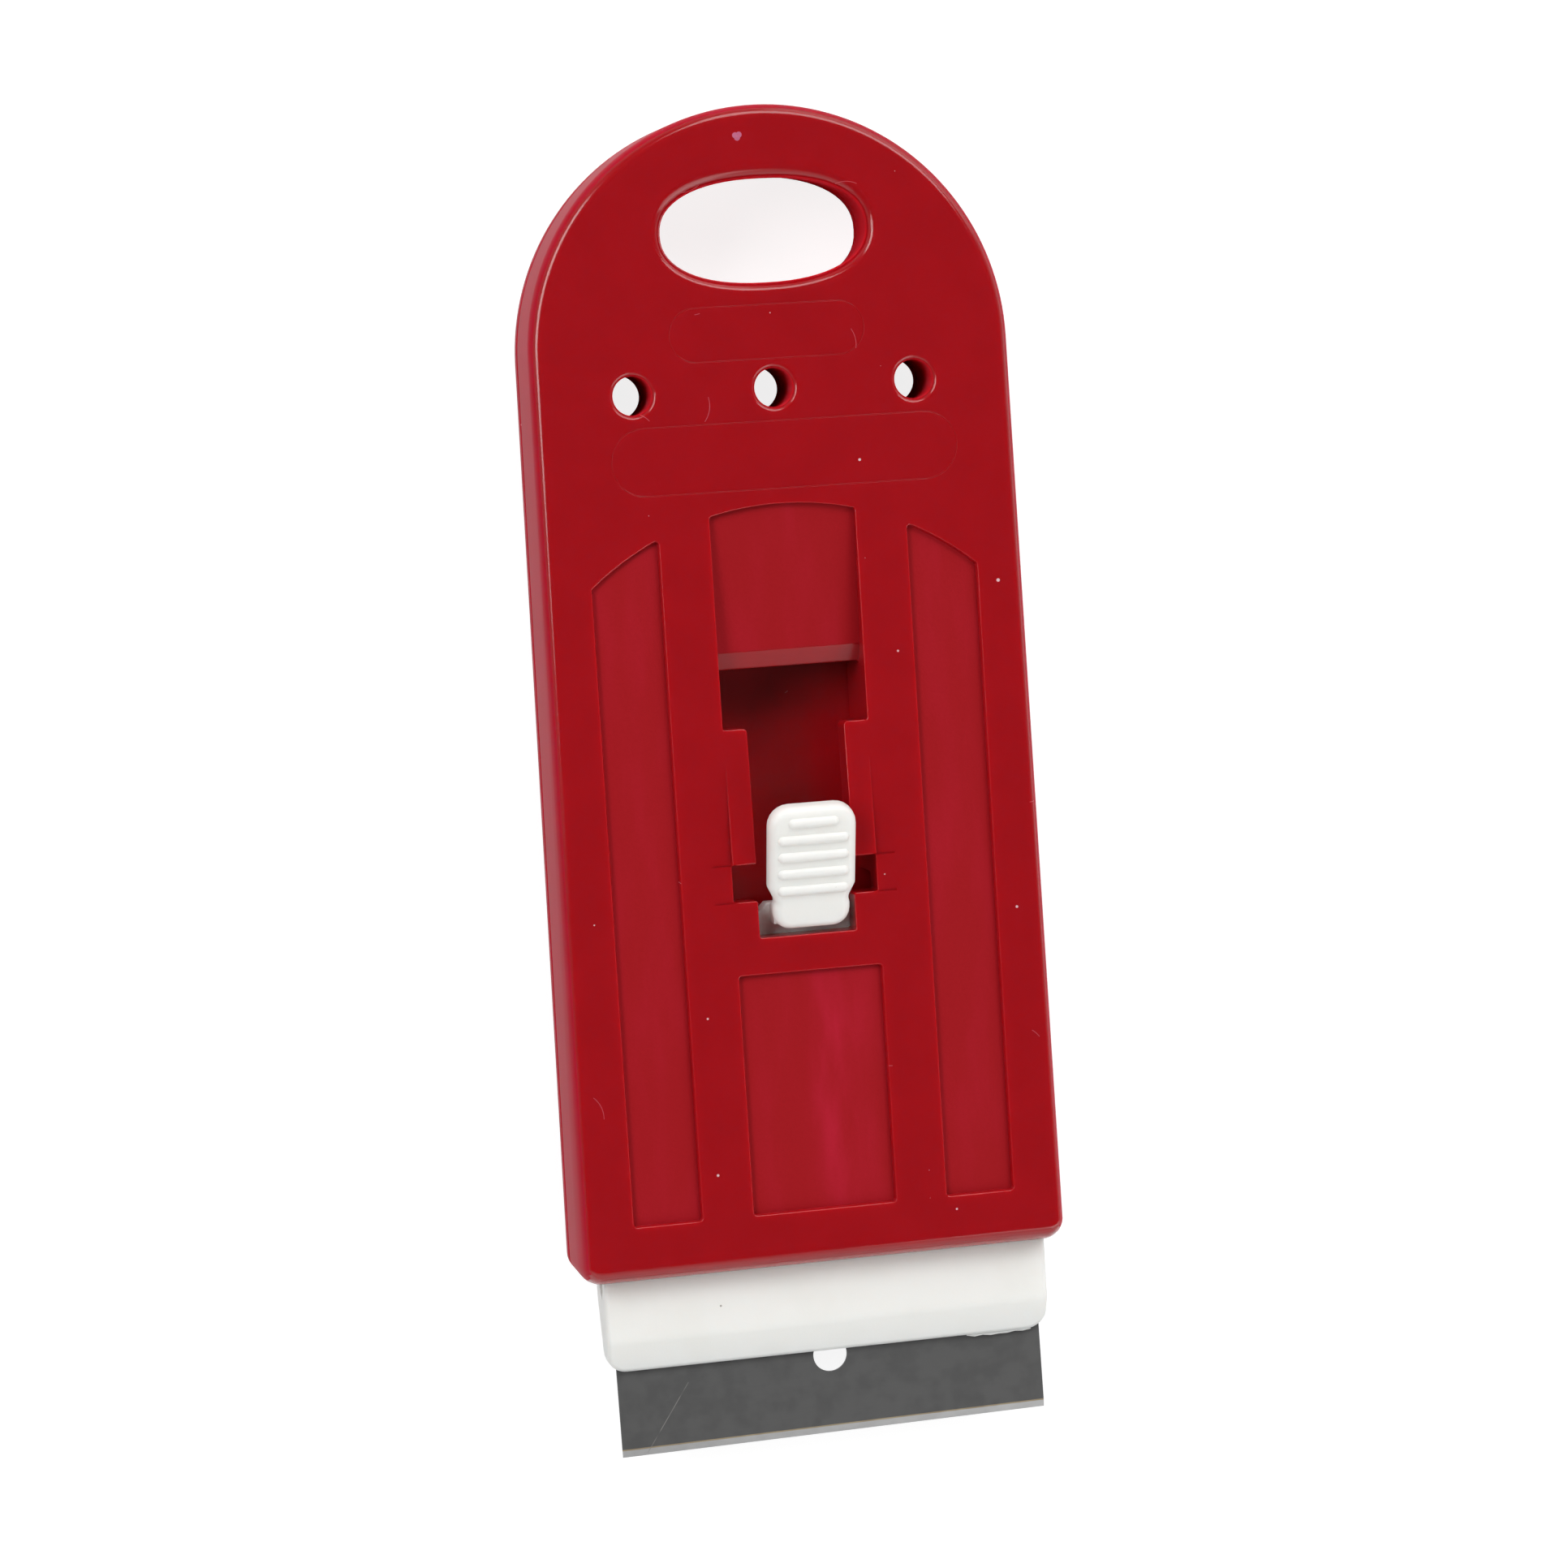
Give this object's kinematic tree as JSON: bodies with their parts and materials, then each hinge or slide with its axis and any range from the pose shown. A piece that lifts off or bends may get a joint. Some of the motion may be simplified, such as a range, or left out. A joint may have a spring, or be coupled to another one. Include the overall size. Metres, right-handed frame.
{
  "type": "safety scraper",
  "caption": "Flat hand scraper with a hollow plastic handle, a sliding blade carrier, a sprung thumb latch and a single-edge razor blade.",
  "frame": {"origin": "middle of the bottom of the bounding box, on the plane that the rear face rests on", "axes": "+Z out of the front face, +Y along the handle towards the hang hole, +X across to the right seen from the front"},
  "size_m": [0.0442, 0.1186, 0.0131],
  "materials": {
    "red_face": "glossy injection-moulded red, with satin panels",
    "red_rear": "glossy injection-moulded red",
    "white_carrier": "satin white moulding",
    "white_latch": "satin white moulding",
    "blade_steel": "dark grey oiled steel with a bright honed edge",
    "back_steel": "folded steel strip"
  },
  "bodies": {
    "handle": {"front_shell": "red_face", "rear_shell": "red_rear"},
    "carrier": {"blade_carrier": "white_carrier", "razor_blade": "blade_steel", "blade_back": "back_steel"},
    "latch": {"latch_arm": "white_latch"}
  },
  "joints": [
    {"name": "carrier_slide", "type": "slide", "parent": "handle", "child": "carrier", "axis": [0, 1, 0], "range_m": [0, 0.02]},
    {"name": "latch_press", "type": "hinge", "parent": "carrier", "child": "latch", "pos_m": [0.0004, -0.03461, 0.0057], "axis": [-1, 0, 0], "range_deg": [0, 1.7], "stiffness_Nm_per_rad": 0.8, "springref_deg": -0.57}
  ]
}
